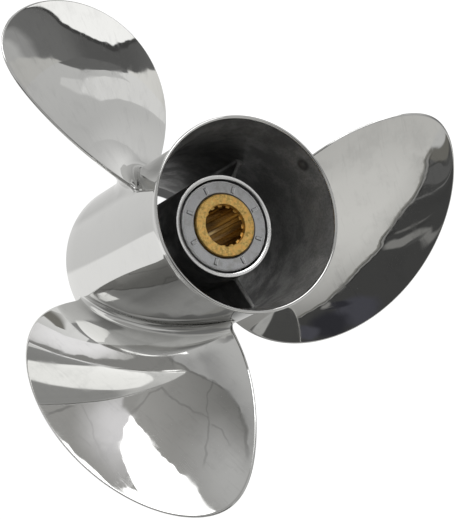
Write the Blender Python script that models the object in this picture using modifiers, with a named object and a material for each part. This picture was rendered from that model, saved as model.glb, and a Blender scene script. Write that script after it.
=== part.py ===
"""Outboard motor propeller: three blades on a barrel that the engine's exhaust leaves through.

The shaft's axis is Z and points aft. The part stands on the front end of its barrel, where
the gearcase meets it, with the origin on the axis. Seen from aft it turns clockwise.
"""

import math

import bmesh
import bpy
from mathutils import Matrix, Vector

INCH = 0.0254
SEAT_GAP = 0.0003
ROOT_GAP = 0.00045

# Barrel: a thin tube with a bright flared rim, open at both ends
BARREL_LENGTH = 0.1635
BARREL_FRONT_R = 0.0603
BARREL_AFT_R = 0.0586
BARREL_BORE_R = 0.0562
FRONT_BORE_R = 0.0584
FRONT_TAPER = 0.012
RIM_R = 0.0622
OPENING_R = 0.0600
FLARE_LENGTH = 0.014
FLARE_RUN_IN = 0.006
LIP = 0.0011
EDGE_BREAK = 0.0006

# Inner tube with the polished end ring, and the ribs that carry it
TUBE_R = 0.0331
TUBE_BORE_R = 0.0305
TUBE_FRONT = 0.009
TUBE_AFT = BARREL_LENGTH - 0.0351
RIB_THICKNESS = 0.0030
RIB_FRONT = 0.014
RIB_AFT = BARREL_LENGTH - 0.060
RIBS = 3

# Pressed-in drive bush: rubber on a splined brass sleeve, closed by a moulded ring
SLEEVE_R = 0.0203
SLEEVE_FRONT = 0.005
SLEEVE_AFT = BARREL_LENGTH - 0.0336
SPLINE_MINOR_R = 0.0124
SPLINE_MAJOR_R = 0.0138
SPLINE_TEETH = 15
CUTTER_MARGIN = 0.002
END_RING_R = 0.0290
END_RING_DEPTH = 0.0080
END_RING_CHAMFER = 0.0008
TICKS = 8
TICK_R = 0.0245
TICK_LENGTH = 0.0032
TICK_WIDTH = 0.0008
TICK_HEIGHT = 0.0005
TICK_SHIFT = math.radians(40.5)
RUBBER_FRONT = 0.011

# Blades: right hand, constant pitch, swept back and raked aft
BLADES = 3
DIAMETER = 14.5 * INCH
PITCH = 21.0 * INCH
FIRST_BLADE = math.radians(60)
LAW_START_R = 0.052
MID_CHORD_Z = BARREL_LENGTH - 0.1025
RAKE = 0.0608
RAKE_EASE = 0.0148
SKEW_FORWARD = 0.251
SKEW_BACK = 0.509
CHORD_ROUND = 0.337
CHORD_TAPER = 0.065
CHORD_WAIST = 0.161
ROOT_THICKNESS = 0.0130
TIP_THICKNESS = 0.0028
EDGE_THICKNESS = 0.0020
CAMBER = 0.0025
FILLET_R = 0.0065
FILLET_STATIONS = (0.0, 0.06, 0.22, 0.5)
SPAN_STATIONS = 13
CHORD_POINTS = 14
FOOT_ROWS = 4
TIP_END = 0.9992

ROUND_STEPS = 72
SMALL_STEPS = 60


def material(name, colour, roughness, metallic):
    """A plain Principled material."""
    made = bpy.data.materials.new(name)
    made.use_nodes = True
    shader = made.node_tree.nodes["Principled BSDF"]
    shader.inputs["Base Color"].default_value = (*colour, 1.0)
    shader.inputs["Roughness"].default_value = roughness
    shader.inputs["Metallic"].default_value = metallic
    made.diffuse_color = (*colour, 1.0)
    return made


def add_piece(name, mesh, finish, collection, carrier, turn=0.0):
    """Put a mesh in a collection as one named object, carried by the shaft's empty."""
    piece = bpy.data.objects.new(name, mesh)
    if finish and not mesh.materials:
        mesh.materials.append(finish)
    piece.rotation_euler.z = turn
    piece.parent = carrier
    collection.objects.link(piece)
    return piece


def turned(name, outline, steps, finish, collection, carrier):
    """A solid of revolution: a closed outline of (radius, height) swept around Z."""
    mesh = bpy.data.meshes.new(name)
    points = [(radius, 0.0, height) for radius, height in outline]
    edges = [(i, (i + 1) % len(points)) for i in range(len(points))]
    mesh.from_pydata(points, edges, [])
    piece = add_piece(name, mesh, finish, collection, carrier)
    screw = piece.modifiers.new("turn", "SCREW")
    screw.axis = "Z"
    screw.steps = steps
    screw.render_steps = steps
    screw.use_merge_vertices = True
    screw.merge_threshold = 0.00005
    screw.use_smooth_shade = True
    return piece


def barrel_radius(height):
    """Outer radius of the barrel: a slight taper aft, then the flare of the rim."""
    flare_start = BARREL_LENGTH - FLARE_LENGTH
    if height <= flare_start:
        return BARREL_FRONT_R + (BARREL_AFT_R - BARREL_FRONT_R) * height / flare_start
    flared = (height - flare_start) / FLARE_LENGTH
    return BARREL_AFT_R + (RIM_R - BARREL_AFT_R) * flared ** 2


def outer_barrel(finish, collection, carrier):
    """The tube that the blades stand on, with a rounded rim and a wider mouth at the front."""
    top = BARREL_LENGTH
    outline = [(OPENING_R + LIP / 2, top), (RIM_R - LIP / 2, top), (RIM_R, top - LIP / 2)]
    for step in range(1, 6):
        height = top - LIP - (FLARE_LENGTH - LIP) * step / 5
        outline.append((barrel_radius(height), height))
    outline.append((BARREL_FRONT_R, EDGE_BREAK))
    outline.append((BARREL_FRONT_R - EDGE_BREAK, 0.0))
    outline.append((FRONT_BORE_R, 0.0))
    outline.append((BARREL_BORE_R, FRONT_TAPER))
    wall_top = top - FLARE_LENGTH - FLARE_RUN_IN
    outline.append((BARREL_BORE_R, wall_top))
    for step in range(1, 5):
        opened = step / 4
        height = wall_top + (top - LIP / 2 - wall_top) * opened
        outline.append((BARREL_BORE_R + (OPENING_R - BARREL_BORE_R) * opened ** 1.6, height))
    return turned("outer_barrel", outline, ROUND_STEPS, finish, collection, carrier)


def inner_tube(finish, collection, carrier):
    """The tube that holds the drive bush; its aft end is the polished ring."""
    outline = [
        (TUBE_BORE_R + EDGE_BREAK, TUBE_AFT),
        (TUBE_R - EDGE_BREAK, TUBE_AFT),
        (TUBE_R, TUBE_AFT - EDGE_BREAK),
        (TUBE_R, TUBE_FRONT + EDGE_BREAK),
        (TUBE_R - EDGE_BREAK, TUBE_FRONT),
        (TUBE_BORE_R, TUBE_FRONT),
        (TUBE_BORE_R, TUBE_AFT - EDGE_BREAK),
    ]
    return turned("inner_tube", outline, SMALL_STEPS, finish, collection, carrier)


def rib_mesh():
    """A flat web from the inner tube to the barrel's wall."""
    inner = TUBE_R + SEAT_GAP
    outer = math.sqrt((BARREL_BORE_R - SEAT_GAP) ** 2 - (RIB_THICKNESS / 2) ** 2)
    size = (outer - inner, RIB_THICKNESS, RIB_AFT - RIB_FRONT)
    centre = Vector(((outer + inner) / 2, 0.0, (RIB_AFT + RIB_FRONT) / 2))
    mesh = bpy.data.meshes.new("rib")
    shape = bmesh.new()
    box = Matrix.Translation(centre) @ Matrix.Diagonal((*size, 1.0))
    bmesh.ops.create_cube(shape, size=1.0, matrix=box)
    shape.to_mesh(mesh)
    shape.free()
    return mesh


def rubber_bush(finish, collection, carrier):
    """The rubber between the sleeve and the inner tube, which slips if a blade strikes."""
    inner = SLEEVE_R + SEAT_GAP
    outer = TUBE_BORE_R - SEAT_GAP
    top = TUBE_AFT - END_RING_DEPTH - SEAT_GAP
    outline = [(inner, top), (outer, top), (outer, RUBBER_FRONT), (inner, RUBBER_FRONT)]
    return turned("rubber_bush", outline, SMALL_STEPS, finish, collection, carrier)


def boxes(name, count, size, centre, turn, collection, carrier):
    """Like boxes around the axis in one mesh, as a tool for a Boolean."""
    mesh = bpy.data.meshes.new(name)
    shape = bmesh.new()
    box = Matrix.Translation(centre) @ Matrix.Diagonal((*size, 1.0))
    for index in range(count):
        around = Matrix.Rotation(turn + 2 * math.pi * index / count, 4, "Z")
        bmesh.ops.create_cube(shape, size=1.0, matrix=around @ box)
    shape.to_mesh(mesh)
    shape.free()
    tool = add_piece(name, mesh, None, collection, carrier)
    tool.hide_render = True
    tool.display_type = "WIRE"
    return tool


def combine(piece, tool, operation):
    """Join or cut a piece with a tool."""
    boolean = piece.modifiers.new(operation.lower(), "BOOLEAN")
    boolean.operation = operation
    boolean.solver = "EXACT"
    boolean.object = tool


def end_ring(finish, collection, tools, carrier):
    """The grey ring around the sleeve's end, with short raised radial marks."""
    inner = SLEEVE_R + SEAT_GAP
    outline = [
        (inner, TUBE_AFT),
        (END_RING_R - END_RING_CHAMFER, TUBE_AFT),
        (END_RING_R, TUBE_AFT - END_RING_CHAMFER),
        (END_RING_R, TUBE_AFT - END_RING_DEPTH),
        (inner, TUBE_AFT - END_RING_DEPTH),
    ]
    ring = turned("end_ring", outline, SMALL_STEPS, finish, collection, carrier)
    size = (TICK_LENGTH, TICK_WIDTH, 2 * TICK_HEIGHT)
    marks = boxes("end_ring_marks", TICKS, size, (TICK_R, 0.0, TUBE_AFT), TICK_SHIFT, tools, carrier)
    combine(ring, marks, "UNION")
    return ring


def splined_sleeve(finish, collection, tools, carrier):
    """The brass sleeve that slides on the propeller shaft's splines."""
    outline = [
        (SPLINE_MINOR_R, SLEEVE_AFT),
        (SLEEVE_R - EDGE_BREAK, SLEEVE_AFT),
        (SLEEVE_R, SLEEVE_AFT - EDGE_BREAK),
        (SLEEVE_R, SLEEVE_FRONT + EDGE_BREAK),
        (SLEEVE_R - EDGE_BREAK, SLEEVE_FRONT),
        (SPLINE_MINOR_R, SLEEVE_FRONT),
    ]
    sleeve = turned("splined_sleeve", outline, SMALL_STEPS, finish, collection, carrier)
    groove_inner = SPLINE_MINOR_R - CUTTER_MARGIN
    width = math.pi * SPLINE_MINOR_R / SPLINE_TEETH
    size = (SPLINE_MAJOR_R - groove_inner, width, SLEEVE_AFT - SLEEVE_FRONT + 2 * CUTTER_MARGIN)
    centre = ((SPLINE_MAJOR_R + groove_inner) / 2, 0.0, (SLEEVE_AFT + SLEEVE_FRONT) / 2)
    grooves = boxes("spline_grooves", SPLINE_TEETH, size, centre, 0.0, tools, carrier)
    combine(sleeve, grooves, "DIFFERENCE")
    return sleeve


def fillet(radius):
    """How far the root's fillet stands off the blade's own section at this radius."""
    climbed = min((radius - BARREL_FRONT_R) / FILLET_R, 1.0)
    return FILLET_R * (1.0 - math.sqrt(1.0 - (1.0 - climbed) ** 2))


def blade_point(radius, along, through, on_barrel=False):
    """A point of the blade.

    along runs from -0.5 at the leading edge to 0.5 at the trailing edge, through from 0 on
    the aft face to 1 on the back. The middle of the two edges lies on the helix of the pitch.
    """
    span = (radius - LAW_START_R) / (DIAMETER / 2 - LAW_START_R)
    left = 1.0 - span
    chord = CHORD_ROUND * math.sqrt(left) - CHORD_TAPER * left - CHORD_WAIST * left ** 2
    lean = math.atan2(PITCH, 2 * math.pi * radius)
    skew = -SKEW_FORWARD * span + SKEW_BACK * span ** 2
    bow = 1.0 - (2 * along) ** 2
    deepest = TIP_THICKNESS + (ROOT_THICKNESS - TIP_THICKNESS) * left ** 1.3
    thickness = EDGE_THICKNESS + (deepest - EDGE_THICKNESS) * bow
    spread = fillet(radius)
    face = EDGE_THICKNESS / 2 - CAMBER * bow * math.sqrt(left) + spread * math.sqrt(bow)
    lift = face - (thickness + 2 * spread * math.sqrt(bow)) * through
    forth = (chord + 2 * spread) * along
    height = MID_CHORD_Z + RAKE * span - RAKE_EASE * span ** 2 + PITCH / (2 * math.pi) * skew
    height += forth * math.sin(lean) + lift * math.cos(lean)
    angle = skew + (forth * math.cos(lean) - lift * math.sin(lean)) / radius
    if on_barrel:
        radius = barrel_radius(height) + ROOT_GAP
    return Vector((radius * math.cos(angle), radius * math.sin(angle), height))


def close_end(shape, section, inner_rows):
    """Close one end of the loft with a strip between its face and its back."""
    rows = [section[:CHORD_POINTS]] + inner_rows + [section[:CHORD_POINTS - 1:-1]]
    for row, following in zip(rows, rows[1:]):
        for index in range(1, CHORD_POINTS - 2):
            shape.faces.new((row[index], following[index], row[index + 1]))
            shape.faces.new((following[index], following[index + 1], row[index + 1]))
    shape.faces.new([rows[0][0]] + [rows[-1][0]] + [row[1] for row in reversed(rows)])
    shape.faces.new([rows[-1][-1]] + [rows[0][-1]] + [row[-2] for row in rows])


def blade_mesh():
    """One blade, lofted through sections, with a filleted root that follows the barrel."""
    waves = [index / (CHORD_POINTS - 1) for index in range(CHORD_POINTS)]
    chordwise = [-0.5 * math.cos(math.pi * wave) for wave in waves]
    tip = LAW_START_R + (DIAMETER / 2 - LAW_START_R) * TIP_END
    foot_top = BARREL_FRONT_R + FILLET_R
    radii = [BARREL_FRONT_R + FILLET_R * climbed for climbed in FILLET_STATIONS]
    for station in range(SPAN_STATIONS):
        share = station / (SPAN_STATIONS - 1)
        radii.append(foot_top + (tip - foot_top) * (1.0 - (1.0 - share) ** 1.8))
    shape = bmesh.new()
    sections = []
    for station, radius in enumerate(radii):
        face = [blade_point(radius, along, 0.0, station == 0) for along in chordwise]
        back = [blade_point(radius, along, 1.0, station == 0) for along in reversed(chordwise)]
        sections.append([shape.verts.new(point) for point in face + back])
    count = 2 * CHORD_POINTS
    for lower, upper in zip(sections, sections[1:]):
        for index in range(count):
            after = (index + 1) % count
            shape.faces.new((lower[index], lower[after], upper[after], upper[index]))
    foot_rows = []
    for row in range(1, FOOT_ROWS):
        points = [blade_point(radii[0], along, row / FOOT_ROWS, True) for along in chordwise]
        inner = [shape.verts.new(point) for point in points[1:-1]]
        foot_rows.append([None] + inner + [None])
    close_end(shape, sections[0], foot_rows)
    close_end(shape, sections[-1], [])
    bmesh.ops.recalc_face_normals(shape, faces=shape.faces)
    mesh = bpy.data.meshes.new("blade")
    shape.to_mesh(mesh)
    shape.free()
    mesh.shade_smooth()
    mesh.set_sharp_from_angle(angle=math.radians(50))
    return mesh


def new_collection(name):
    """A collection linked to the scene."""
    made = bpy.data.collections.new(name)
    bpy.context.scene.collection.children.link(made)
    return made


def build():
    """Make the whole propeller."""
    for old in list(bpy.data.objects):
        bpy.data.objects.remove(old, do_unlink=True)
    propeller = new_collection("outboard_propeller")
    tools = new_collection("cutters")
    shaft = bpy.data.objects.new("shaft_axis", None)
    propeller.objects.link(shaft)

    polished = material("polished_stainless", (0.62, 0.63, 0.65), 0.08, 1.0)
    blackened = material("blackened_cast_steel", (0.05, 0.05, 0.055), 0.55, 0.3)
    grey = material("grey_moulding", (0.24, 0.25, 0.27), 0.55, 0.0)
    rubber = material("black_rubber", (0.02, 0.02, 0.02), 0.8, 0.0)
    brass = material("brass", (0.62, 0.47, 0.22), 0.4, 1.0)

    outer_barrel(polished, propeller, shaft)
    inner_tube(polished, propeller, shaft)
    rubber_bush(rubber, propeller, shaft)
    end_ring(grey, propeller, tools, shaft)
    splined_sleeve(brass, propeller, tools, shaft)

    web = rib_mesh()
    for index in range(RIBS):
        turn = 2 * math.pi * index / RIBS
        add_piece(f"rib_{index + 1}", web, blackened, propeller, shaft, turn)

    blade = blade_mesh()
    for index in range(BLADES):
        turn = FIRST_BLADE + 2 * math.pi * index / BLADES
        add_piece(f"blade_{index + 1}", blade, polished, propeller, shaft, turn)


build()
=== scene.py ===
import math

import bmesh
import bpy
from mathutils import Matrix, Vector

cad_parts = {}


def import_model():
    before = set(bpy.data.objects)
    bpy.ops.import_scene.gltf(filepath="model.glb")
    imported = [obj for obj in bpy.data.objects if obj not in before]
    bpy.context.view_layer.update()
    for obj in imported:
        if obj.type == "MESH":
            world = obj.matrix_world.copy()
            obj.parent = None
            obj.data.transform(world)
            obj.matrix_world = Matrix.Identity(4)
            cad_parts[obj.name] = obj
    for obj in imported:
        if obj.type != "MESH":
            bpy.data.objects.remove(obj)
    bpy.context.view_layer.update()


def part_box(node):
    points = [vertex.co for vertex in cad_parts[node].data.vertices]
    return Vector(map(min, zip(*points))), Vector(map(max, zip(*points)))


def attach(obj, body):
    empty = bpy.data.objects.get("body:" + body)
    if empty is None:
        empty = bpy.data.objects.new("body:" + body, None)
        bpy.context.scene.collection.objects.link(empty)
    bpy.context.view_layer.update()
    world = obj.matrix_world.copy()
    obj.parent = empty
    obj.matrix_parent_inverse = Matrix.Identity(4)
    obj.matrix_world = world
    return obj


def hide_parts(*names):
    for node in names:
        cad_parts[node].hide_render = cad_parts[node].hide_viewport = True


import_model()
bpy.context.scene.view_settings.view_transform = "Standard"


# Barrel
# The casting's outer tube carries the blades, and the engine's exhaust leaves through it. It is
# investment cast in stainless steel and mirror polished outside, up over the lip of the flared
# rim, which stops air being drawn back to the blades. Inside it is left as cast and blackened.
barrel_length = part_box("outer_barrel")[1][2]
rim_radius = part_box("outer_barrel")[1][0]
opening_radius = 0.0600
barrel_front_radius = 0.0603
barrel_aft_radius = 0.0586
barrel_bore = 0.0562
front_mouth = 0.0584
mouth_break_width = 0.0002
mouth_break_depth = 0.0004
front_taper = 0.012
wall_start = 0.004
flare_length = 0.014
inner_flare_length = 0.0195
inner_flare_curve = 1.6
skin_depth = 0.0008
lip = (rim_radius - opening_radius) / 2
lip_lean_out = math.radians(29)
lip_lean_in = math.radians(18)
edge_break = 0.0006
# size and place of the painted shade of a dimple in the lining; the surface itself is smooth there
dimple_shade_size = 0.0055
dimple_shade_place = (-0.0060, 0.0570, 0.1535)
blade_count = 3


def barrel_radius(height):
    """Outer radius of the barrel at a height above its front end, without the lip."""
    straight = barrel_length - flare_length
    if height <= straight:
        return barrel_front_radius + (barrel_aft_radius - barrel_front_radius) * height / straight
    flare_top = barrel_length - lip - lip * math.sin(lip_lean_out)
    flare_end = rim_radius - lip + lip * math.cos(lip_lean_out)
    climbed = (height - straight) / (flare_top - straight)
    return barrel_aft_radius + (flare_end - barrel_aft_radius) * climbed ** 2


def rounded(centre_radius, centre_height, size, start, end, steps):
    """Points of an arc in the plane of an outline, from one angle to another."""
    angles = [start + (end - start) * step / steps for step in range(steps + 1)]
    return [(centre_radius + size * math.cos(a), centre_height + size * math.sin(a)) for a in angles]


def spun(outline, steps=288):
    """A closed outline of (radius, height) spun once around the shaft's axis."""
    shape = bmesh.new()
    ring = [shape.verts.new((radius, 0.0, height)) for radius, height in outline]
    edges = [shape.edges.new(pair) for pair in zip(ring, ring[1:] + ring[:1])]
    bmesh.ops.spin(shape, geom=ring + edges, axis=(0, 0, 1), cent=(0, 0, 0), steps=steps,
                   angle=2 * math.pi, use_merge=True)
    bmesh.ops.remove_doubles(shape, verts=shape.verts, dist=1e-6)
    return shape


def finished(name, shape, materials, node, sharp=40):
    """Turn a bmesh into a smooth shaded piece of the dressed part, in place of a CAD node."""
    bmesh.ops.recalc_face_normals(shape, faces=shape.faces)
    mesh = bpy.data.meshes.new(name)
    shape.to_mesh(mesh)
    shape.free()
    mesh.shade_smooth()
    mesh.set_sharp_from_angle(angle=math.radians(sharp))
    for material in materials:
        mesh.materials.append(material)
    piece = bpy.data.objects.new(name, mesh)
    bpy.context.scene.collection.objects.link(piece)
    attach(piece, "root")
    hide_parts(node)
    return piece


def add_node(tree, kind, inputs, **settings):
    """Add a shader node; an input that is given as a socket is linked to it."""
    made = tree.nodes.new("ShaderNode" + kind)
    for key, value in settings.items():
        setattr(made, key, value)
    for key, value in inputs.items():
        if isinstance(value, bpy.types.NodeSocket):
            tree.links.new(value, made.inputs[key])
        else:
            made.inputs[key].default_value = value
    return made


def calculated(tree, operation, *values, **settings):
    """The result of a Math node."""
    return add_node(tree, "Math", dict(enumerate(values)), operation=operation, **settings).outputs[0]


def measured(tree, operation, *vectors):
    """The result of a Vector Math node: a length, distance or dot product, or else a vector."""
    number = operation in ("LENGTH", "DISTANCE", "DOT_PRODUCT")
    made = add_node(tree, "VectorMath", dict(enumerate(vectors)), operation=operation)
    return made.outputs["Value" if number else "Vector"]


def new_group(name, inputs, outputs):
    """Start a shader node group with named inputs and outputs."""
    tree = bpy.data.node_groups.new(name, "ShaderNodeTree")
    for key, default in inputs.items():
        kind = "NodeSocketVector" if isinstance(default, tuple) else "NodeSocketFloat"
        socket = tree.interface.new_socket(name=key, in_out="INPUT", socket_type=kind)
        socket.default_value = default
    for key in outputs:
        tree.interface.new_socket(name=key, in_out="OUTPUT", socket_type="NodeSocketFloat")
    return tree, tree.nodes.new("NodeGroupInput").outputs, tree.nodes.new("NodeGroupOutput").inputs


def new_material(name, **constants):
    """Start a material; constants are set on the shader's own sockets."""
    material = bpy.data.materials.new(name)
    material.use_nodes = True
    shader = material.node_tree.nodes["Principled BSDF"]
    for key, value in constants.items():
        shader.inputs[key.replace("_", " ").title()].default_value = value
    where = add_node(material.node_tree, "TexCoord", {}).outputs["Object"]
    return material, material.node_tree, shader.inputs, where


def stretch(tree, value, low, high, to_low, to_high):
    """Map a value from one range onto another, smoothly and without going past its ends."""
    return add_node(tree, "MapRange", {"Value": value, "From Min": low, "From Max": high,
                                       "To Min": to_low, "To Max": to_high},
                    interpolation_type="SMOOTHSTEP").outputs["Result"]


def blended(tree, factor, first, second):
    """A colour between two others."""
    return add_node(tree, "Mix", {"Factor": factor, 6: (*first, 1), 7: (*second, 1)},
                    data_type="RGBA").outputs[2]


def laid_over(tree, mask, under, colour):
    """Lay a colour over another one, where the mask is one."""
    over = colour if isinstance(colour, bpy.types.NodeSocket) else (*colour, 1)
    return add_node(tree, "Mix", {"Factor": mask, 6: under, 7: over}, data_type="RGBA").outputs[2]


def all_of(tree, masks):
    """The product of several masks."""
    product = masks[0]
    for mask in masks[1:]:
        product = calculated(tree, "MULTIPLY", product, mask)
    return product


def raised(tree, shader, height, depth):
    """Bump a material by a height times a depth in metres, or times 1 if it is in metres."""
    metres = calculated(tree, "MULTIPLY", height, depth)
    bump = add_node(tree, "Bump", {"Height": metres, "Distance": 1.0})
    tree.links.new(bump.outputs["Normal"], shader["Normal"])


# polishing: broad waves left by the wheel, hairlines along them, and a faint haze
polishing, given, result = new_group(
    "polishing", {"Vector": (0, 0, 0), "Wave size": 0.03, "Wave depth": 1e-4,
                  "Line stretch": (1, 1, 1), "Line depth": 1e-6}, ["Height", "Haze"])
per_metre = calculated(polishing, "DIVIDE", 1.0, given["Wave size"])
wave = add_node(polishing, "TexNoise", {"Vector": given["Vector"], "Scale": per_metre, "Detail": 1.0,
                                        "Roughness": 0.4})
lines_at = measured(polishing, "MULTIPLY", given["Vector"], given["Line stretch"])
lines = add_node(polishing, "TexNoise", {"Vector": lines_at, "Scale": 1.0, "Detail": 3.0,
                                         "Roughness": 0.65})
wave_height = calculated(polishing, "MULTIPLY", wave.outputs["Fac"], given["Wave depth"])
height = calculated(polishing, "MULTIPLY_ADD", lines.outputs["Fac"], given["Line depth"], wave_height)
polishing.links.new(height, result["Height"])
cloud = add_node(polishing, "TexNoise", {"Vector": given["Vector"], "Scale": 55.0, "Detail": 5.0,
                                         "Roughness": 0.6}).outputs["Fac"]
haze = calculated(polishing, "ADD", stretch(polishing, cloud, 0.42, 0.72, 0.0, 0.75),
                  stretch(polishing, lines.outputs["Fac"], 0.5, 0.75, 0.0, 0.5), use_clamp=True)
polishing.links.new(haze, result["Haze"])


def polished_steel(name, wave_size, wave_depth, line_stretch, line_depth, rough_low=0.02,
                   rough_high=0.085):
    """Polished stainless steel, with painted shade: darker on the barrel towards each blade."""
    material, tree, shader, where = new_material(name, metallic=1.0)
    marks = add_node(tree, "Group", {"Vector": where, "Wave size": wave_size, "Wave depth": wave_depth,
                                     "Line stretch": line_stretch, "Line depth": line_depth},
                     node_tree=polishing)
    haze = marks.outputs["Haze"]
    tree.links.new(stretch(tree, haze, 0.0, 1.0, rough_low, rough_high), shader["Roughness"])
    xyz = add_node(tree, "SeparateXYZ", {"Vector": where}).outputs
    # painted shade: the barrel's colour is darker towards each blade, standing in for dim reflections
    # there
    angle = calculated(tree, "ARCTAN2", xyz["Y"], xyz["X"])
    angle = calculated(tree, "MULTIPLY", angle, float(blade_count))
    away_from_blades = calculated(tree, "COSINE", angle)
    bright = blended(tree, stretch(tree, away_from_blades, -0.05, 0.36, 0.0, 1.0), (0.430, 0.430, 0.422),
                     (0.625, 0.625, 0.617))
    across = measured(tree, "MULTIPLY", where, (1, 1, 0))
    reach = measured(tree, "LENGTH", across)
    bright = laid_over(tree, stretch(tree, reach, 0.0605, 0.072, 0.0, 1.0), bright,
                       (0.745, 0.745, 0.735))
    bright = laid_over(tree, stretch(tree, reach, 0.034, 0.050, 1.0, 0.0), bright, (0.90, 0.90, 0.895))
    at_lip = stretch(tree, xyz["Z"], barrel_length - 0.007, barrel_length - 0.002, 0.0, 1.0)
    at_lip = all_of(tree, [at_lip, stretch(tree, reach, 0.050, 0.055, 0.0, 1.0)])
    bright = laid_over(tree, at_lip, bright, (0.68, 0.68, 0.67))
    dulled = stretch(tree, haze, 0.0, 1.0, 0.0, 0.35)
    tree.links.new(laid_over(tree, dulled, bright, (0.56, 0.56, 0.555)), shader["Base Color"])
    raised(tree, shader, marks.outputs["Height"], 1.0)
    return material


turned_steel = polished_steel("steel_polished_round", 0.045, 6e-5, (25, 25, 900), 6e-7)

# grain: the fine pits and bumps of a cast, moulded or bonded skin
grain, given, result = new_group("grain", {"Vector": (0, 0, 0), "Size": 0.001}, ["Height", "Speckle"])
per_metre = calculated(grain, "DIVIDE", 1.0, given["Size"])
pits = add_node(grain, "TexNoise", {"Vector": given["Vector"], "Scale": per_metre, "Detail": 4.0,
                                    "Roughness": 0.7}).outputs["Fac"]
grain.links.new(pits, result["Height"])
grain.links.new(stretch(grain, pits, 0.35, 0.68, 0.0, 1.0), result["Speckle"])

# stain: soot, dust or grime that lies in soft patches
stain, given, result = new_group("stain", {"Vector": (0, 0, 0), "Size": 0.02, "Cover": 0.5}, ["Mask"])
per_metre = calculated(stain, "DIVIDE", 1.0, given["Size"])
patches = add_node(stain, "TexNoise", {"Vector": given["Vector"], "Scale": per_metre, "Detail": 5.0,
                                       "Roughness": 0.62}).outputs["Fac"]
bare = calculated(stain, "SUBTRACT", 1.0, given["Cover"])
edge = add_node(stain, "MapRange", {"Value": bare, "To Min": 0.30, "To Max": 0.66}).outputs["Result"]
above = calculated(stain, "SUBTRACT", patches, edge)
stain.links.new(stretch(stain, above, -0.10, 0.16, 0.0, 1.0), result["Mask"])


def blackened(name, grain_size, grain_depth, highlight_above=1.0):
    """Cast steel under a thin satin black, mottled with soot, painted lighter on the side that faces the
    light, with a painted highlight along the top and the painted shade of one dimple.
    """
    material, tree, shader, where = new_material(name, metallic=0.0)
    cast = add_node(tree, "Group", {"Vector": where, "Size": grain_size}, node_tree=grain)
    soot = add_node(tree, "Group", {"Vector": where, "Size": 0.016, "Cover": 0.55}, node_tree=stain)
    dark = blended(tree, soot.outputs["Mask"], (0.150, 0.150, 0.148), (0.080, 0.080, 0.080))
    # painted light: the side of the lining and ribs that faces the light is painted lighter
    lit_side_way = measured(tree, "DOT_PRODUCT", where, (0.71, 0.71, 0))
    lit_side_colour = blended(tree, soot.outputs["Mask"], (0.28, 0.278, 0.27), (0.19, 0.19, 0.187))
    dark = laid_over(tree, stretch(tree, lit_side_way, 0.012, 0.050, 0.0, 1.0), dark, lit_side_colour)
    # painted highlight: a lighter band along the top edge, above the given height
    high = add_node(tree, "SeparateXYZ", {"Vector": where}).outputs["Z"]
    dark = laid_over(tree, stretch(tree, high, highlight_above, highlight_above + 0.0006, 0.0, 0.9), dark,
                     (0.46, 0.46, 0.45))
    pitted = stretch(tree, cast.outputs["Speckle"], 0.0, 1.0, 0.0, 0.4)
    dark = laid_over(tree, pitted, dark, (0.06, 0.06, 0.06))
    # painted shade: a dark ring with a lighter middle where a dimple would be
    away = measured(tree, "DISTANCE", where, dimple_shade_place)
    dimple_shade = calculated(tree, "SUBTRACT", stretch(tree, away, dimple_shade_size * 0.5, dimple_shade_size, 0.8, 0.0),
                        stretch(tree, away, 0.0, dimple_shade_size * 0.6, 0.35, 0.0), use_clamp=True)
    dark = laid_over(tree, dimple_shade, dark, (0.012, 0.012, 0.012))
    tree.links.new(dark, shader["Base Color"])
    tree.links.new(stretch(tree, soot.outputs["Mask"], 0.0, 1.0, 0.42, 0.58), shader["Roughness"])
    raised(tree, shader, cast.outputs["Height"], grain_depth)
    return material


lining = blackened("black_lining", 0.0016, 8e-5)

lip_height = barrel_length - lip
barrel_outline = rounded(rim_radius - lip, lip_height, lip, -lip_lean_out, math.pi + lip_lean_in, 14)
inner_top_radius, inner_top = barrel_outline[-1]
for step in range(1, 11):
    closed = 1 - step / 10
    radius = barrel_bore + (inner_top_radius - barrel_bore) * closed ** inner_flare_curve
    barrel_outline.append((radius, barrel_length - inner_flare_length
                           + (inner_top - barrel_length + inner_flare_length) * closed))
for step in range(1, 9):
    height = barrel_length - inner_flare_length
    height += (front_taper + edge_break - height) * step / 8
    barrel_outline.append((barrel_bore, height))
barrel_outline.append((front_mouth, mouth_break_depth))
barrel_outline.append((front_mouth + mouth_break_width, 0.0))
barrel_outline += rounded(barrel_front_radius - edge_break, edge_break, edge_break,
                          -math.pi / 2, 0, 4)
for step in range(1, 13):
    height = wall_start + (barrel_length - flare_length - wall_start) * step / 12
    barrel_outline.append((barrel_radius(height), height))
flare_top = barrel_length - lip - lip * math.sin(lip_lean_out)
for step in range(1, 10):
    height = barrel_length - flare_length + (flare_top - barrel_length + flare_length) * step / 10
    barrel_outline.append((barrel_radius(height), height))
barrel = finished("barrel_casting", spun(barrel_outline), [turned_steel, lining], "outer_barrel")
for face in barrel.data.polygons:
    centre = face.center
    reach = math.hypot(centre.x, centre.y)
    if reach < barrel_radius(centre.z) - skin_depth and centre.z < inner_top:
        face.material_index = 1


# Blades
# Three blades are cast in one with the barrel and blended into it with wide hand-ground fillets.
# Each follows a helix of constant pitch, sweeps back, leans aft and ends in a thin rounded edge.
first_blade = math.radians(60)
inch = 0.0254
# the skin's tip stays a hair inside the solid's
tip_inside = 0.00003
tip_radius = 14.5 * inch / 2 - tip_inside
pitch = 21 * inch
# chord, skew and rake follow the span, which is 0 at law_start and 1 at the tip
law_start = 0.052
chord_round, chord_taper, chord_waist = 0.337, 0.065, 0.161
skew_forward, skew_back = 0.251, 0.509
rake, rake_ease = 0.0608, 0.0148
middle_height = barrel_length - 0.1025
edge_thickness = 0.0020
edge_rounding = 0.0012
root_thickness = 0.0130
tip_thickness = 0.0028
thinning = 1.3
face_hollow = 0.0025
fillet = 0.0065
root_sunk = 0.0006
root_seat = 0.00002
root_skirt = 0.0004
taper_reach = 0.025
blade_columns = 192


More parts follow.
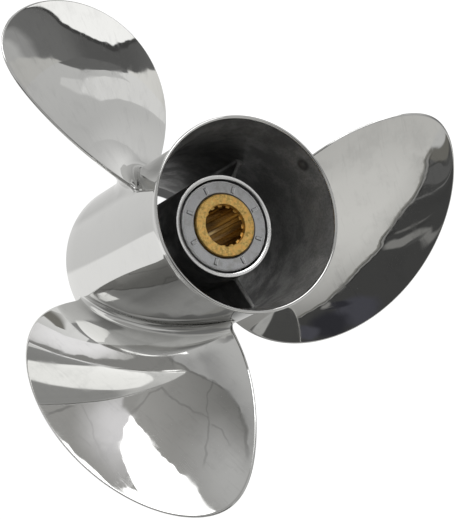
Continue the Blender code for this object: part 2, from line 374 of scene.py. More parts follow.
def blade_point(radius, along, aft_side, spread, fullness, drop):
    """A point of a blade's skin: along runs from -0.5, leading, to 0.5, trailing edge."""
    span = (radius - law_start) / (tip_radius - law_start)
    left = max(1.0 - span, 0.0)
    chord = chord_round * math.sqrt(left) - chord_taper * left - chord_waist * left ** 2
    lean = math.atan2(pitch, 2 * math.pi * radius)
    skew = -skew_forward * span + skew_back * span ** 2
    bow = max(1.0 - (2 * along) ** 2, 0.0)
    deepest = tip_thickness + (root_thickness - tip_thickness) * left ** thinning
    inward = (0.5 - abs(along)) * chord
    tipward = (tip_radius - radius) * bow
    margin = inward * tipward / math.hypot(inward, tipward) if tipward > 0 else 0.0
    roundness = math.sqrt(1 - (1 - min(margin / edge_rounding, 1.0)) ** 2)
    body = edge_thickness / 2 * roundness + spread * math.sqrt(bow)
    if not aft_side:
        body = -body - (deepest - edge_thickness) * bow * roundness
    middle = -(deepest - edge_thickness) * bow * roundness / 2
    lift = middle + (body - middle) * fullness - face_hollow * bow * math.sqrt(left)
    forth = (chord + 2 * spread) * along
    height = middle_height + rake * span - rake_ease * span ** 2 + pitch / (2 * math.pi) * skew
    height += forth * math.sin(lean) + lift * math.cos(lean)
    angle = skew + (forth * math.cos(lean) - lift * math.sin(lean)) / radius
    radius -= (barrel_front_radius - barrel_radius(height)) * drop
    return Vector((radius * math.cos(angle), radius * math.sin(angle), height))


def blade_stations():
    """(radius, spread, fullness, drop) of each row of a blade, from inside the barrel's wall up."""
    wall = barrel_front_radius
    rows = [(wall - root_sunk, fillet, fullness, 1.0) for fullness in (0.0, 0.35, 0.7, 1.0)]
    rows.append((wall - root_seat, fillet + root_skirt, 1.0, 1.0))
    for step in range(25):
        climb = math.pi / 2 * step / 24
        above = fillet * (1 - math.cos(climb))
        rows.append((wall + above, fillet * (1 - math.sin(climb)), 1.0, (1 - above / taper_reach) ** 2))
    foot = wall + fillet
    for step in range(1, 121):
        radius = foot + (tip_radius - foot) * (1 - (1 - step / 120) ** 2)
        drop = max(1 - (radius - wall) / taper_reach, 0.0) ** 2
        rows.append((radius, 0.0, 1.0, drop))
    return rows


def wrapped(columns, rows, place):
    """A grid bent round into a closed skin: place gives each point its position."""
    shape = bmesh.new()
    bmesh.ops.create_grid(shape, x_segments=columns, y_segments=rows, size=0.5)
    for vertex in shape.verts:
        column = round((vertex.co.x + 0.5) * columns) % columns
        vertex.co = place(column, round((vertex.co.y + 0.5) * rows))
    bmesh.ops.remove_doubles(shape, verts=shape.verts, dist=2e-6)
    return shape


blade_steel = polished_steel("steel_polished_by_hand", 0.030, 8e-5, (60, 420, 60), 4e-7)
stations = blade_stations()


def blade_place(column, row):
    """Where a point of the wrapped grid lies on the blade."""
    radius, spread, fullness, drop = stations[row]
    along = -0.5 * math.cos(2 * math.pi * column / blade_columns)
    return blade_point(radius, along, column < blade_columns / 2, spread, fullness, drop)


for index in range(blade_count):
    name = f"blade_{index + 1}"
    shape = wrapped(blade_columns, len(stations) - 1, blade_place)
    bmesh.ops.rotate(shape, verts=shape.verts, cent=(0, 0, 0),
                     matrix=Matrix.Rotation(first_blade + 2 * math.pi * index / blade_count, 3, "Z"))
    finished(f"{name}_casting", shape, [blade_steel], name, sharp=80)


# Inner tube
# A second tube of the same casting stands inside the barrel and holds the hub. Its aft end is
# turned and polished to a bright ring with a chamfer inside; the rest is blackened with the barrel.
tube_low, tube_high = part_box("inner_tube")
tube_front, tube_aft, tube_radius = tube_low[2], tube_high[2], tube_high[0]
tube_bore = 0.0305
tube_edge = 0.0004
chamfer_width = 0.0007
chamfer_depth = 0.0004

tube_outline = rounded(tube_radius - tube_edge, tube_aft - tube_edge, tube_edge, 0, math.pi / 2, 6)
tube_outline.append((tube_bore + chamfer_width, tube_aft))
tube_outline.append((tube_bore, tube_aft - chamfer_depth))
for step in range(1, 7):
    tube_outline.append((tube_bore, tube_aft + (tube_front - tube_aft) * step / 7))
tube_outline.append((tube_bore, tube_front + edge_break))
tube_outline.append((tube_bore + edge_break, tube_front))
tube_outline += rounded(tube_radius - edge_break, tube_front + edge_break, edge_break,
                        -math.pi / 2, 0, 4)
for step in range(1, 7):
    tube_outline.append((tube_radius, tube_front + (tube_aft - tube_front) * step / 7))
faced_steel = polished_steel("steel_faced", 0.045, 2e-5, (25, 25, 900), 2e-6, 0.20, 0.32)
tube = finished("inner_tube_casting", spun(tube_outline), [faced_steel, lining], "inner_tube")
for face in tube.data.polygons:
    if face.center.z < tube_aft - tube_edge:
        face.material_index = 1


# Ribs
# Three thin walls of the casting run from the inner tube to the barrel and split the exhaust
# passage in three. Their edges are rounded, and small fillets join them to both tubes.
rib_low, rib_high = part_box("rib_1")
rib_front, rib_aft = rib_low[2], rib_high[2]
rib_half = rib_high[1]
rib_fillet = 0.0022
rib_sunk = 0.0003
rib_columns = 40
rib_count = 3
flank = [(rib_fillet * (1 - math.cos(climb)), rib_fillet * (1 - math.sin(climb)), 1.0)
         for climb in [math.pi / 2 * step / 8 for step in range(9)]]
flank = [(-rib_sunk, rib_fillet, 0.0), (-rib_sunk, rib_fillet, 1.0)] + flank
rib_stations = [(tube_radius + away, swell, fullness) for away, swell, fullness in flank]
rib_stations += [(barrel_bore - away, swell, fullness) for away, swell, fullness in reversed(flank)]


def rib_place(column, row):
    """Where a point of the wrapped grid lies on the first rib, which is along +X."""
    radius, swell, fullness = rib_stations[row]
    half = rib_half + swell
    arc = rib_columns // 2
    turn = math.pi * (column % arc) / (arc - 1)
    if column < arc:
        height = rib_aft + swell - half + half * math.sin(turn)
    else:
        height = rib_front - swell + half - half * math.sin(turn)
        turn = math.pi - turn
    across = half * math.cos(turn) * fullness
    return Vector((math.sqrt(radius ** 2 - across ** 2), across, height))


rib_skin = blackened("black_rib", 0.0016, 8e-5, rib_aft - 0.0012)
for index in range(rib_count):
    shape = wrapped(rib_columns, len(rib_stations) - 1, rib_place)
    bmesh.ops.rotate(shape, verts=shape.verts, cent=(0, 0, 0),
                     matrix=Matrix.Rotation(2 * math.pi * index / rib_count, 3, "Z"))
    finished(f"rib_{index + 1}_casting", shape, [rib_skin], f"rib_{index + 1}",
             sharp=60)


# Rubber bush
# Moulded rubber pressed into the inner tube carries the sleeve and softens the shocks of the drive.
# It is nearly hidden: its hollowed front face shows from the gearcase's side only.
bush_low, bush_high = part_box("rubber_bush")
bush_front, bush_aft = bush_low[2], bush_high[2]
sleeve_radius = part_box("splined_sleeve")[1][0]
bush_lip = 0.0022
bush_hollow = 0.0035

rubber, tree, shader, where = new_material("moulded_rubber", metallic=0.0)
skin = add_node(tree, "Group", {"Vector": where, "Size": 0.0008}, node_tree=grain)
bloom = add_node(tree, "Group", {"Vector": where, "Size": 0.010, "Cover": 0.4}, node_tree=stain)
tree.links.new(blended(tree, bloom.outputs["Mask"], (0.014, 0.014, 0.014), (0.034, 0.033, 0.031)),
               shader["Base Color"])
tree.links.new(stretch(tree, bloom.outputs["Mask"], 0.0, 1.0, 0.55, 0.75), shader["Roughness"])
raised(tree, shader, skin.outputs["Height"], 4e-5)

bush_middle = (sleeve_radius + tube_bore) / 2
bush_reach = (tube_bore - sleeve_radius) / 2 - bush_lip
bush_outline = [(sleeve_radius, bush_aft), (tube_bore, bush_aft), (tube_bore, bush_front)]
for step in range(13):
    turn = math.pi * step / 12
    bush_outline.append((bush_middle + bush_reach * math.cos(turn),
                         bush_front + bush_hollow * math.sin(turn)))
bush_outline.append((sleeve_radius, bush_front))
finished("rubber_bush_moulding", spun(bush_outline, 144), [rubber], "rubber_bush")


# End ring
# A ring moulded in grey plastic lies in the tube's mouth around the sleeve and covers the bush. Its
# outer edge is chamfered, and eight short bars are raised on its face.
ring_low, ring_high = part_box("end_ring")
ring_radius = ring_high[0]
ring_front = ring_low[2]
mark_height = 0.0005
ring_face = ring_high[2] - mark_height
ring_chamfer = 0.0008
ring_seat = 0.0004
ring_inner_chamfer = 0.0008
mark_radius = 0.0245
mark_size = (0.0046, 0.0025)
mark_bevel = 0.00045
mark_count = 8
first_mark = math.radians(40.5)
# the way that the bar sides with the painted highlight face
highlight_side = Vector((0.59, 0.81, 0.0))


def grey_moulding(name, dark, light, dusty):
    """Glass-filled plastic with a fine grain, dusty in patches."""
    material, tree, shader, where = new_material(name, metallic=0.0)
    skin = add_node(tree, "Group", {"Vector": where, "Size": 0.0006}, node_tree=grain)
    dust = add_node(tree, "Group", {"Vector": where, "Size": 0.006, "Cover": 0.35}, node_tree=stain)
    speckled = blended(tree, skin.outputs["Speckle"], dark, light)
    tree.links.new(laid_over(tree, dust.outputs["Mask"], speckled, dusty), shader["Base Color"])
    tree.links.new(stretch(tree, skin.outputs["Speckle"], 0.0, 1.0, 0.48, 0.36), shader["Roughness"])
    raised(tree, shader, skin.outputs["Height"], 3e-5)
    return material


moulding = grey_moulding("grey_moulding", (0.53, 0.537, 0.55), (0.67, 0.675, 0.69), (0.47, 0.47, 0.466))
# a lit and a shaded copy of the grey moulding: painted highlight and painted shade
moulding_painted_highlight = grey_moulding("grey_moulding_painted_highlight", (0.90, 0.90, 0.91), (1.0, 1.0, 1.0), (0.80, 0.80, 0.80))
moulding_painted_shade = grey_moulding("grey_moulding_painted_shade", (0.12, 0.12, 0.122), (0.20, 0.20, 0.205),
                      (0.10, 0.10, 0.10))

ring_inner = sleeve_radius + ring_seat
ring_outline = [(ring_inner, ring_face - ring_inner_chamfer),
                (ring_inner + ring_inner_chamfer, ring_face),
                (ring_radius - ring_chamfer, ring_face), (ring_radius, ring_face - ring_chamfer),
                (ring_radius, ring_front), (ring_inner, ring_front)]
shape = spun(ring_outline, 192)
for index in range(mark_count):
    bar = bmesh.ops.create_cube(shape, size=1.0)["verts"]
    bmesh.ops.scale(shape, verts=bar, vec=(*mark_size, 2 * mark_height))
    bmesh.ops.translate(shape, verts=bar, vec=(mark_radius, 0, ring_face))
    bmesh.ops.rotate(shape, verts=bar, cent=(0, 0, 0),
                     matrix=Matrix.Rotation(first_mark + 2 * math.pi * index / mark_count, 3, "Z"))
    edges = list({edge for vertex in bar for edge in vertex.link_edges if vertex.co.z > ring_face})
    bmesh.ops.bevel(shape, geom=edges, offset=mark_bevel, affect="EDGES", segments=2, profile=0.5,
                    material=-1)
ring = finished("end_ring_moulding", shape, [moulding, moulding_painted_highlight, moulding_painted_shade], "end_ring",
                sharp=30)
# painted light: bar sides that face one way and the outer chamfer get the painted highlight; the other
# bar sides and the inner chamfer by the sleeve get the painted shade
for face in ring.data.polygons:
    centre = face.center
    reach = math.hypot(centre.x, centre.y)
    if centre.z > ring_face + mark_height / 20 and face.normal.z < 0.95:
        face.material_index = 1 if face.normal.dot(highlight_side) > 0.2 else 2
    elif reach < ring_inner + ring_inner_chamfer and face.normal.z < 0.9:
        face.material_index = 2
    elif reach > ring_radius - ring_chamfer and 0.1 < face.normal.z < 0.9:
        face.material_index = 1


# Splined sleeve
# A machined brass sleeve bonded into the bush slides over the propeller shaft. Fifteen splines
# are broached through its bore, and its end face, which the nut bears on, has a blasted grain.
sleeve_low, sleeve_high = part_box("splined_sleeve")
sleeve_front, sleeve_aft = sleeve_low[2], sleeve_high[2]
sleeve_chamfer = 0.0006
spline_minor = 0.0124
spline_major = 0.0136
lead_width = 0.0015
lead_depth = 0.0022
counterbore = 0.0137
counterbore_depth = 0.0030
counterbore_edge = 0.0002
spline_count = 15
steps_per_spline = 24
groove_share = 0.57
flank_share = 0.10


def brass(name, light, dark, blotch, rough_low, rough_high, grain_size, grain_depth, drawn_out):
    """Brass with a fine grain, drawn out by the tool, and darker blotches of grease and tarnish."""
    material, tree, shader, where = new_material(name, metallic=1.0)
    along = measured(tree, "MULTIPLY", where, drawn_out)
    skin = add_node(tree, "Group", {"Vector": along, "Size": grain_size}, node_tree=grain)
    tarnish = add_node(tree, "Group", {"Vector": along, "Size": 0.0035, "Cover": 0.5}, node_tree=stain)
    speckled = blended(tree, skin.outputs["Speckle"], dark, light)
    tree.links.new(laid_over(tree, tarnish.outputs["Mask"], speckled, blotch), shader["Base Color"])
    tree.links.new(stretch(tree, tarnish.outputs["Mask"], 0.0, 1.0, rough_low, rough_high),
                   shader["Roughness"])
    raised(tree, shader, skin.outputs["Height"], grain_depth)
    return material


brass_face = brass("brass_blasted", (1.0, 0.72, 0.27), (0.48, 0.30, 0.09), (0.93, 0.60, 0.20),
                   0.44, 0.60, 0.0022, 1.6e-4, (1, 1, 1))
# the bore's brass has darker colours than the face's: painted shade inside the bore; its grain and
# tarnish are the brass's own
brass_bore = brass("brass_broached", (0.70, 0.50, 0.17), (0.36, 0.23, 0.06), (0.30, 0.18, 0.045),
                   0.12, 0.24, 0.0020, 8e-6, (1, 1, 0.06))

sleeve_outline = [(spline_minor, sleeve_front + lead_depth),
                  (spline_minor, sleeve_aft - counterbore_depth),
                  (counterbore, sleeve_aft - counterbore_depth),
                  (counterbore, sleeve_aft - counterbore_edge),
                  (counterbore + counterbore_edge, sleeve_aft),
                  (sleeve_radius - sleeve_chamfer, sleeve_aft),
                  (sleeve_radius, sleeve_aft - sleeve_chamfer),
                  (sleeve_radius, sleeve_front + sleeve_chamfer),
                  (sleeve_radius - sleeve_chamfer, sleeve_front),
                  (spline_minor + lead_width, sleeve_front)]
shape = spun(sleeve_outline, spline_count * steps_per_spline)
for vertex in shape.verts:
    reach = math.hypot(vertex.co.x, vertex.co.y)
    if reach < spline_major:
        share = math.atan2(vertex.co.y, vertex.co.x) * spline_count / (2 * math.pi)
        off_groove = 2 * abs(share - round(share))
        cut = min(max((groove_share - off_groove) / flank_share, 0.0), 1.0)
        cut_radius = spline_minor + (spline_major - spline_minor) * cut * cut * (3 - 2 * cut)
        grown = max(reach, cut_radius) / reach
        vertex.co.x *= grown
        vertex.co.y *= grown
sleeve = finished("splined_sleeve_turned", shape, [brass_face, brass_bore], "splined_sleeve",
                  sharp=35)
for face in sleeve.data.polygons:
    centre = face.center
    reach = math.hypot(centre.x, centre.y)
    if reach < spline_major and centre.z < sleeve_aft - counterbore_depth - 1e-5:
        face.material_index = 1


# Camera
# It looks down into the flared end from the photograph's angle.
camera_place = Vector((-0.0427, -0.4719, 1.0052))
camera_aim = Vector((0.0211, 0.0040, 0.1))
camera_up = Vector((-0.8448, 0.4959, 0.2012))
forward = (camera_aim - camera_place).normalized()
right = forward.cross(camera_up).normalized()
upward = right.cross(forward)
camera_data = bpy.data.cameras.new("camera")
camera_data.lens = 109.64
camera_data.sensor_width = 36.0
camera = bpy.data.objects.new("camera", camera_data)
turn = Matrix((right, upward, -forward)).transposed().to_4x4()
camera.matrix_world = Matrix.Translation(camera_place) @ turn
bpy.context.scene.collection.objects.link(camera)
bpy.context.scene.camera = camera


# Floor
# A pale disc that the front end of the barrel stands on. The camera sees it evenly white, save in
# the barrel's own shade; the polished steel sees strips and patches of it that are lit differently.
floor_radius = 2.5
first_bearing = -150.0

shape = bmesh.new()
bmesh.ops.create_circle(shape, cap_ends=True, segments=128, radius=floor_radius)
floor_mesh = bpy.data.meshes.new("floor")
shape.to_mesh(floor_mesh)
shape.free()
floor = bpy.data.objects.new("floor", floor_mesh)
bpy.context.scene.collection.objects.link(floor)


def bearing(tree, direction):
    """The azimuth of a direction in degrees, from -150 to 210: 0 is towards -Y, 90 towards +X."""
    xyz = add_node(tree, "SeparateXYZ", {"Vector": direction}).outputs
    toward = calculated(tree, "MULTIPLY", xyz["Y"], -1.0)
    angle = calculated(tree, "ARCTAN2", xyz["X"], toward)
    degrees = calculated(tree, "DEGREES", angle)
    behind = calculated(tree, "LESS_THAN", degrees, first_bearing)
    return calculated(tree, "MULTIPLY_ADD", behind, 360.0, degrees)


def turn_share(tree, azimuth):
    """How far round an azimuth lies, from 0 to 1."""
    return add_node(tree, "MapRange", {"Value": azimuth, "From Min": first_bearing,
                                       "From Max": first_bearing + 360}).outputs["Result"]


def around(tree, azimuth, stops, tint):
    """A colour that changes with the azimuth, from stops of (degrees, brightness)."""
    made = add_node(tree, "ValToRGB", {"Fac": turn_share(tree, azimuth)})
    elements = made.color_ramp.elements
    elements.remove(elements[1])
    elements[0].position = 0.0
    elements[0].color = (*(stops[0][1] * part for part in tint), 1)
    for degrees, bright in stops[1:]:
        elements.new((degrees - first_bearing) / 360).color = (*(bright * part for part in tint), 1)
    return made.outputs["Color"]


def right_of(tree, place, start, end, soft):
    """One to the right of a straight line that runs from start to end, and zero to its left."""
    across, up = end[0] - start[0], end[1] - start[1]
    length = math.hypot(across, up)
    normal = (up / length, -across / length, 0)
    line = start[0] * normal[0] + start[1] * normal[1]
    beyond = measured(tree, "DOT_PRODUCT", place, normal)
    return stretch(tree, beyond, line - soft, line + soft, 0.0, 1.0)


def inside(tree, place, corners, soft):
    """One within a convex shape whose corners are given clockwise."""
    return all_of(tree, [right_of(tree, place, start, end, soft)
                         for start, end in zip(corners, corners[1:] + corners[:1])])


pale = bpy.data.materials.new("pale_floor")
pale.use_nodes = True
tree = pale.node_tree
tree.nodes.clear()
where = add_node(tree, "TexCoord", {}).outputs["Object"]
reach = measured(tree, "LENGTH", where)
azimuth = bearing(tree, where)
neutral = (1.0, 0.998, 0.985)


def grey(bright, tint=neutral):
    """A grey of a brightness."""
    return tuple(bright * part for part in tint)


def past(value, low, high):
    """One where a value is beyond a soft limit, in the tree that is being made."""
    return stretch(tree, value, low, high, 0.0, 1.0)


def before(value, low, high):
    """One where a value is short of a soft limit, in the tree that is being made."""
    return stretch(tree, value, low, high, 1.0, 0.0)


def zone(under, masks, colour):
    """Lay another light over the part of the floor that all the masks share."""
    return laid_over(tree, all_of(tree, masks), under, colour)


glow = around(tree, azimuth, [(-150, 0.55), (-138, 0.70), (-125, 0.85), (-60, 0.85), (-50, 0.75),
                              (-42, 0.60), (-15, 0.56), (5, 0.50), (20, 0.32), (30, 0.10), (85, 0.10),
                              (100, 0.50), (140, 0.72), (165, 0.62), (185, 0.57), (195, 0.555),
                              (203, 0.53), (210, 0.55)], neutral)
# the paper close to the barrel, lighter on the side of the softbox
glow = zone(glow, [before(reach, 0.10, 0.26), past(azimuth, 150, 165)], grey(0.66))
glow = zone(glow, [before(reach, 0.10, 0.20), past(azimuth, -150, -130), before(azimuth, -25, -5)],
            grey(0.80))
# behind the object: lighter sheets with straight edges, and the dark end of the room
for corners, soft, bright in (
        ([(-0.06, 0.31), (-0.09, 0.47), (-0.12, 0.86), (-0.10, 1.04), (-0.05, 0.60)], 0.006, 0.69),
        ([(-0.06, 0.31), (-0.085, 0.47), (-0.04, 0.66), (0, 0.69), (0.2, 0.74), (0.2, 0.31)], 0.006,
         0.81),
        ([(0.10, 0.2), (0.12, 0.80), (0.2, 1.1), (0.3, 3), (3, 3), (3, 0.2)], 0.006, 0.81),
        ([(0, 0.93), (0, 3), (1.1, 3), (0.6, 1.75), (0.4, 1.35), (0.2, 1.05)], 0.008, 0.15)):
    glow = zone(glow, [inside(tree, where, corners, soft)], grey(bright))
# the shade in front of the strip under the softbox, the light beyond it, and the room's far end,
# with a pale thing that stands there
glow = zone(glow, [past(azimuth, -66, -60), before(azimuth, -24, -16), past(reach, 0.19, 0.23),
                   before(reach, 0.34, 0.40)], grey(0.42))
glow = zone(glow, [past(azimuth, -50, -45), before(azimuth, -26, -20), past(reach, 0.34, 0.40)],
            grey(0.80))
glow = zone(glow, [past(azimuth, -24, -18), before(azimuth, -4, 0), past(reach, 0.65, 0.80)],
            grey(0.20))
glow = zone(glow, [past(azimuth, 27, 31), before(azimuth, 41, 43), past(reach, 0.55, 0.65)], grey(0.55))
# the long bright strip itself, and the shade on its far side
strip = [(-1.4, 0.44), (-0.28, 0), (-0.17, -0.04), (-0.20, -0.115), (-0.285, -0.215), (-0.36, -0.245),
         (-0.55, -0.235), (-1.4, -0.03)]
glow = zone(glow, [inside(tree, where, strip, 0.007), past(reach, 0.20, 0.24)], grey(1.38))
beside_strip = [(-0.25, -0.012), (-1.9, 0.638), (-1.9, 1.3), (-0.25, 0.09)]
glow = zone(glow, [inside(tree, where, beside_strip, 0.006)], grey(0.36))
# a brighter sheet right beside the barrel, and a brown strip of card that points away from it
glow = zone(glow, [right_of(tree, where, (0.0184, 0.0), (0.0817, 0.0774), 0.002),
                   before(reach, 0.16, 0.20), before(azimuth, -1, 1)], grey(1.05))
card = [(-0.097, 0.072), (-0.120, 0.047), (-0.519, 0.410), (-0.496, 0.435)]
glow = zone(glow, [inside(tree, where, card, 0.006)], (0.205, 0.198, 0.180))
# what the camera sees: white paper, and the ring of shade under the barrel's wall
paper_seen, shade_seen = 0.97, 0.07
shade = all_of(tree, [past(reach, 0.0515, 0.0528), before(reach, 0.0592, barrel_front_radius)])
clear = stretch(tree, shade, 0.0, 1.0, paper_seen, shade_seen)
seen = add_node(tree, "Emission", {"Color": (1, 1, 1, 1), "Strength": clear}).outputs[0]
cast_on = add_node(tree, "BsdfDiffuse", {"Color": (0.22, 0.22, 0.22, 1)}).outputs[0]
to_camera = add_node(tree, "AddShader", {0: seen, 1: cast_on}).outputs[0]
mirrored = add_node(tree, "Emission", {"Color": glow}).outputs[0]
path = add_node(tree, "LightPath", {})
floor_shader = add_node(tree, "MixShader", {0: path.outputs["Is Camera Ray"], 1: mirrored,
                                            2: to_camera})
tree.links.new(floor_shader.outputs[0], add_node(tree, "OutputMaterial", {}).inputs["Surface"])
# the floor and the studio are lit so evenly that sampling them apart would only take time
pale.cycles.emission_sampling = "NONE"
floor_mesh.materials.append(pale)


# Studio light
# Soft light of a photographer's studio: pale paper walls up to a curved top edge, a dim room above
# them, a large white softbox and the creased grey paper beside it. Places are (azimuth, elevation).
patch, given, result = new_group(
    "patch", {"Place": (0, 0, 0), "Centre": (0, 0, 0), "Size": (10, 10, 1), "Tilt": 0.0,
              "Softness": 0.05, "Squareness": 2.0}, ["Mask"])
offset = measured(patch, "SUBTRACT", given["Place"], given["Centre"])
tilt = calculated(patch, "RADIANS", given["Tilt"])
turned = add_node(patch, "VectorRotate", {"Vector": offset, "Angle": tilt}, invert=True,
                  rotation_type="Z_AXIS").outputs["Vector"]
scaled = measured(patch, "DIVIDE", turned, given["Size"])
scaled = measured(patch, "ABSOLUTE", scaled)
parts = add_node(patch, "SeparateXYZ", {"Vector": scaled}).outputs
powers = [calculated(patch, "POWER", parts[key], given["Squareness"]) for key in ("X", "Y")]
total = calculated(patch, "ADD", powers[0], powers[1])
root = calculated(patch, "DIVIDE", 1.0, given["Squareness"])
far = calculated(patch, "POWER", total, root)
far = calculated(patch, "MULTIPLY", far, 2.0)
least = calculated(patch, "SUBTRACT", 1.0, given["Softness"])
most = calculated(patch, "ADD", 1.0, given["Softness"])
patch.links.new(stretch(patch, far, least, most, 1.0, 0.0), result["Mask"])

world = bpy.data.worlds.new("studio")
world.use_nodes = True
tree = world.node_tree
tree.nodes.clear()
straight = add_node(tree, "TexCoord", {}).outputs["Generated"]
drift = add_node(tree, "TexNoise", {"Vector": straight, "Scale": 9.0, "Detail": 3.0}).outputs["Color"]
waviness = 0.06
direction = measured(tree, "MULTIPLY_ADD", drift, (waviness, waviness, waviness), straight)
direction = measured(tree, "SUBTRACT", direction, (waviness / 2, waviness / 2, waviness / 2))
direction = measured(tree, "NORMALIZE", direction)
azimuth = bearing(tree, direction)
up = add_node(tree, "SeparateXYZ", {"Vector": direction}).outputs["Z"]
elevation = calculated(tree, "ARCSINE", up)
elevation = calculated(tree, "DEGREES", elevation)
place = add_node(tree, "CombineXYZ", {"X": azimuth, "Y": elevation}).outputs["Vector"]

wall_top = [(-150, 6), (-50, 3), (-40, 6), (-10, 30), (8, 32), (18, 35.5), (30, 39), (55, 41.8),
            (72, 42.4), (79, 43.3), (85, 43.2), (88, 42), (91, 41.7), (96, 41.7), (115, 44), (128, 36),
            (140, 12), (144, 8), (147.5, 5), (150, 3.3), (154, 0), (158, -2.1), (161, -5.2),
            (163.5, -6.4), (167, -6), (171, -4.8), (174, -4.1), (176, -2.5), (178, -0.2), (181, 1),
            (186, 3), (210, 8)]
edge_curve = add_node(tree, "FloatCurve", {"Value": turn_share(tree, azimuth)})
points = edge_curve.mapping.curves[0].points
while len(points) < len(wall_top):
    points.new(0.5, 0.5)
for point, (degrees, height) in zip(points, wall_top):
    point.location = ((degrees - first_bearing) / 360, (height + 90) / 180)
    point.handle_type = "VECTOR"
edge_curve.mapping.update()
edge = add_node(tree, "MapRange", {"Value": edge_curve.outputs["Value"], "To Min": -90.0,
                                   "To Max": 90.0})
above_edge = calculated(tree, "SUBTRACT", elevation, edge.outputs["Result"])


def lit_patch(under, centre, size, tilt, soft, square, colour):
    """Lay a rounded patch of light or shade over the studio."""
    made = add_node(tree, "Group", {"Place": place, "Centre": (*centre, 0), "Size": (*size, 1),
                                    "Tilt": tilt, "Softness": soft, "Squareness": square},
                    node_tree=patch)
    return laid_over(tree, made.outputs["Mask"], under, colour)


def lit_sheet(under, corners, soft, colour):
    """Lay a sheet of paper or a softbox with straight edges over the studio."""
    return laid_over(tree, inside(tree, place, corners, soft), under, colour)


def line_over(under, course, wide, share, colour=(0, 0, 0)):
    """Draw a line through some places over the studio, letting a share of its colour show."""
    for start, end in zip(course, course[1:]):
        across, tall = end[0] - start[0], end[1] - start[1]
        middle = ((start[0] + end[0]) / 2, (start[1] + end[1]) / 2, 0)
        size = (math.hypot(across, tall) + 0.5 * wide, wide, 1)
        made = add_node(tree, "Group", {"Place": place, "Centre": middle, "Size": size,
                                        "Tilt": math.degrees(math.atan2(tall, across)),
                                        "Softness": 0.3, "Squareness": 5.0}, node_tree=patch)
        shown = calculated(tree, "MULTIPLY", made.outputs["Mask"], share)
        under = laid_over(tree, shown, under, colour)
    return under


warm = (1.01, 1.0, 0.965)
cool = (0.97, 0.97, 1.16)
# the dim room above the walls, with a doorway, a post, and pale things that stand in it
room = around(tree, azimuth, [(-150, 0.45), (-90, 0.42), (-84, 0.40), (-80, 0.42), (-77, 0.36),
                              (-74, 0.37), (-70, 0.44), (-66, 0.50), (-60, 0.54), (-50, 0.54),
                              (-10, 0.42), (6, 0.06), (70, 0.06), (76, 0.055), (80, 0.065), (90.3, 0.10),
                              (91.4, 0.56), (112, 0.52), (120, 0.30), (138, 0.22), (147, 0.15),
                              (156, 0.11), (168, 0.11), (173, 0.17), (179.1, 0.18), (179.5, 0.32),
                              (181.9, 0.33), (182.2, 0.50)], neutral)
room = lit_sheet(room, [(73.6, 42), (82.8, 52), (84, 60), (91, 60), (91, 42)], 0.15, grey(0.115))
room = line_over(room, [(73.6, 42), (82.8, 52)], 0.6, 1.0, grey(0.16))
room = lit_sheet(room, [(88.1, 40), (88.1, 60), (91.2, 60), (91.2, 40)], 0.3, (0.170, 0.165, 0.150))
room = line_over(room, [(86.3, 44), (88.3, 45.8), (86.5, 48.5)], 0.7, 0.35)
for centre, size, tilt, soft, square, colour in (
        ((26.5, 48.5), (16, 9.5), 0, 0.25, 3, grey(0.072, cool)),
        ((17.5, 44.8), (14, 9.5), -15, 0.35, 2, grey(0.033, cool)),
        ((27.6, 42.5), (8, 3.2), 45, 0.3, 2, grey(0.035, cool)),
        ((11, 41.3), (7, 6), 0, 0.3, 3, grey(0.078, cool)),
        ((26.3, 40), (3.4, 2), 0, 0.4, 2, grey(0.25, warm)),
        ((25.6, 41), (3.4, 0.6), 45, 0.4, 2, grey(0.14, warm)),
        ((60.8, 47.3), (11, 3.0), 43, 0.25, 3, grey(0.235, warm)),
        ((61, 53.3), (9.5, 2.4), -30, 0.3, 3, grey(0.21, warm)),
        ((61, 50.6), (5, 1.6), 40, 0.5, 2, grey(0.08)),
        ((66.4, 49.0), (5.4, 1.1), 42, 0.4, 2, grey(0.05)),
        ((65.8, 46.9), (10, 0.8), 40, 0.4, 2, grey(0.155, warm)),
        ((62.2, 43.6), (3, 1.1), 20, 0.4, 2, grey(0.045))):
    room = lit_patch(room, centre, size, tilt, soft, square, colour)
# the walls, a little darker under their top edge, which has a brown rim, a light gap and a dark line
wall = around(tree, azimuth, [(-150, 0.50), (-50, 0.50), (5, 0.27), (20, 0.34), (25, 0.41), (40, 0.54),
                              (50, 0.62), (60, 0.69), (68, 0.71), (85, 0.67), (95, 0.58), (105, 0.55),
                              (140, 0.72), (150, 0.80), (165, 0.83), (169, 0.56), (180, 0.55),
                              (210, 0.50)], warm)
over_wall = all_of(tree, [past(azimuth, 5, 15), before(azimuth, 88, 91)])
light = laid_over(tree, all_of(tree, [stretch(tree, above_edge, -6, 0, 0.0, 0.12), over_wall]), wall,
                  (0, 0, 0))
light = laid_over(tree, past(above_edge, -0.4, 0.4), light, room)
for low, high, shown, colour in ((0.95, 1.35, 0.5, (0, 0, 0)), (0.35, 1.0, 0.8, grey(0.33, warm)),
                                 (-0.35, 0.35, 0.8, (0.222, 0.218, 0.198))):
    band = all_of(tree, [stretch(tree, above_edge, low, low + 0.2, 0.0, shown),
                         before(above_edge, high - 0.2, high), over_wall])
    light = laid_over(tree, band, light, colour)
# grey paper left of the softbox, lighter beside it, and the softbox itself
softbox = (3.0, 3.0, 3.0)
light = lit_sheet(light, [(-140, 5), (-140, 50), (-100, 50), (-107.5, 22), (-107.5, 5)], 0.3,
                  grey(0.36, warm))
light = lit_patch(light, (-111, 25.5), (17, 17), 0, 0.8, 2, grey(0.82, (1.0, 0.985, 1.0)))
light = lit_sheet(light, [(-140, 14), (-145, 60), (-121, 60), (-121, 35)], 0.3, softbox)
light = lit_sheet(light, [(-121.5, 34.8), (-121.5, 60), (-111, 60), (-111.5, 38.9)], 0.3, softbox)
light = lit_sheet(light, [(-108.3, 22.8), (-111, 27), (-111.5, 37), (-112, 60), (-94, 60),
                          (-93.7, 42)], 0.3, softbox)
# the pale ceiling, which the flat ends of the hub face
light = lit_patch(light, (172, 64), (90, 36), 0, 0.5, 2, grey(0.58))
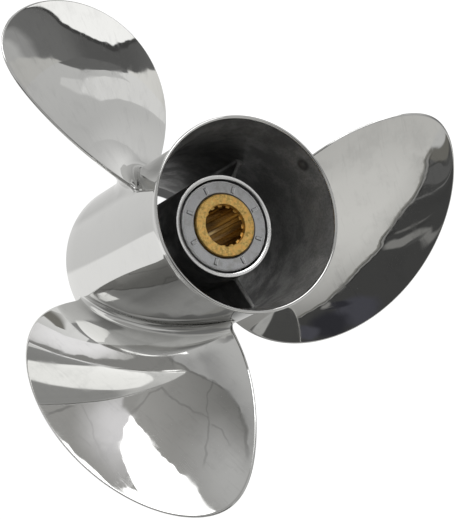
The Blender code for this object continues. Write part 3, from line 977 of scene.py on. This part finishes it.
# the large creased sheet right of the softbox, with a cloudy light part at its top
paper = around(tree, azimuth, [(-150, 0.38), (-112, 0.38), (-105, 0.39), (-100, 0.36), (-95, 0.33),
                               (-90, 0.30), (-80, 0.24), (-73, 0.21)], warm)
light = lit_sheet(light, [(-108, 2), (-108.3, 22.6), (-103, 32.3), (-98.2, 38.2), (-93.6, 42.8),
                          (-82, 46), (-74.5, 35), (-73, 27), (-75.5, 19.5), (-93.5, 3.5)], 0.25, paper)
light = lit_sheet(light, [(-94, 42.3), (-94, 60), (-84, 60), (-79, 42)], 0.3, paper)
light = lit_patch(light, (-85, 43), (18, 20), 10, 0.95, 2, grey(0.52))
light = lit_patch(light, (-76, 2.5), (26, 6.5), 0, 0.8, 2, grey(0.55))
light = lit_sheet(light, [(-108, 4), (-111, 20), (-108, 23.2), (-104, 12)], 0.6, grey(0.36, warm))
# low down: a light glow, dark bands over and beside it, the far end of the bright strip and
# what stands along the skyline
light = lit_patch(light, (-128, -1), (34, 14), -8, 0.6, 2.2, grey(0.98, (1.0, 0.99, 1.0)))
light = lit_sheet(light, [(-143, 6.3), (-143, 13.8), (-104, 13.8), (-104, 3.4)], 0.3, grey(0.27, warm))
light = lit_sheet(light, [(-107, -6), (-107, 10), (-91, 10), (-91, -1)], 0.8, grey(0.27, warm))
light = lit_sheet(light, [(-112, -8), (-104, -2), (-92, -1.5), (-68, -2.4), (-61, -3.5),
                          (-54, -5.5), (-48, -30), (-112, -30)], 0.3, grey(1.4))
light = lit_sheet(light, [(-91, 0.4), (-91, 3.2), (-85.5, 4.0), (-82.5, 4.1), (-84, 0.4)], 0.3,
                  grey(1.7))
light = lit_patch(light, (-40, -1.2), (26, 4.6), 0, 0.3, 4, grey(0.90))
light = lit_patch(light, (-42, 2.9), (40, 2.4), 0, 0.3, 4, grey(0.27))
# creases of the paper: how dark each is, how wide, and its points
for dark, wide, course in (
        (0.22, 1.0, [(-93.5, 3.5), (-85, 12), (-78, 17), (-74.5, 21.5), (-73.5, 27), (-75, 34),
                     (-78, 40)]),
        (0.20, 0.7, [(-88, 2), (-92, 7)]),
        (0.22, 0.6, [(-108, 22), (-102, 17), (-98, 15.5), (-95, 19), (-91, 23), (-85, 27.5), (-87, 33),
                     (-91, 38)]),
        (0.20, 0.5, [(-78, 17), (-82, 21), (-84.5, 27)]),
        (0.20, 0.5, [(-85, 30), (-82, 32), (-81, 36)]),
        (0.12, 0.5, [(-122, 20), (-119, 25), (-117, 33)]),
        (0.30, 0.5, [(-131, 22.4), (-124, 20.4)])):
    light = line_over(light, course, wide, dark)
# a white lamp behind its dark frame
light = lit_sheet(light, [(151.8, 9.2), (151, 20), (171.6, 20), (171.6, 8.6), (171.2, 6.2), (169.5, 4),
                          (164.5, 2.5), (160.6, 2.4), (158, 3.6)], 0.2, grey(0.06))
light = lit_sheet(light, [(153, 9.2), (152, 20), (170.7, 20), (170.7, 9.4), (170.3, 6.9), (169, 4.9),
                          (164.3, 3.5), (161, 3.4), (158.5, 4.6)], 0.15, grey(1.16))
seen = add_node(tree, "Background", {"Color": (1, 1, 1, 1)}).outputs[0]
lit = add_node(tree, "Background", {"Color": light}).outputs[0]
path = add_node(tree, "LightPath", {})
studio = add_node(tree, "MixShader", {0: path.outputs["Is Camera Ray"], 1: lit, 2: seen}).outputs[0]
tree.links.new(studio, add_node(tree, "OutputWorld", {}).inputs["Surface"])
world.cycles.sampling_method = "NONE"
bpy.context.scene.world = world
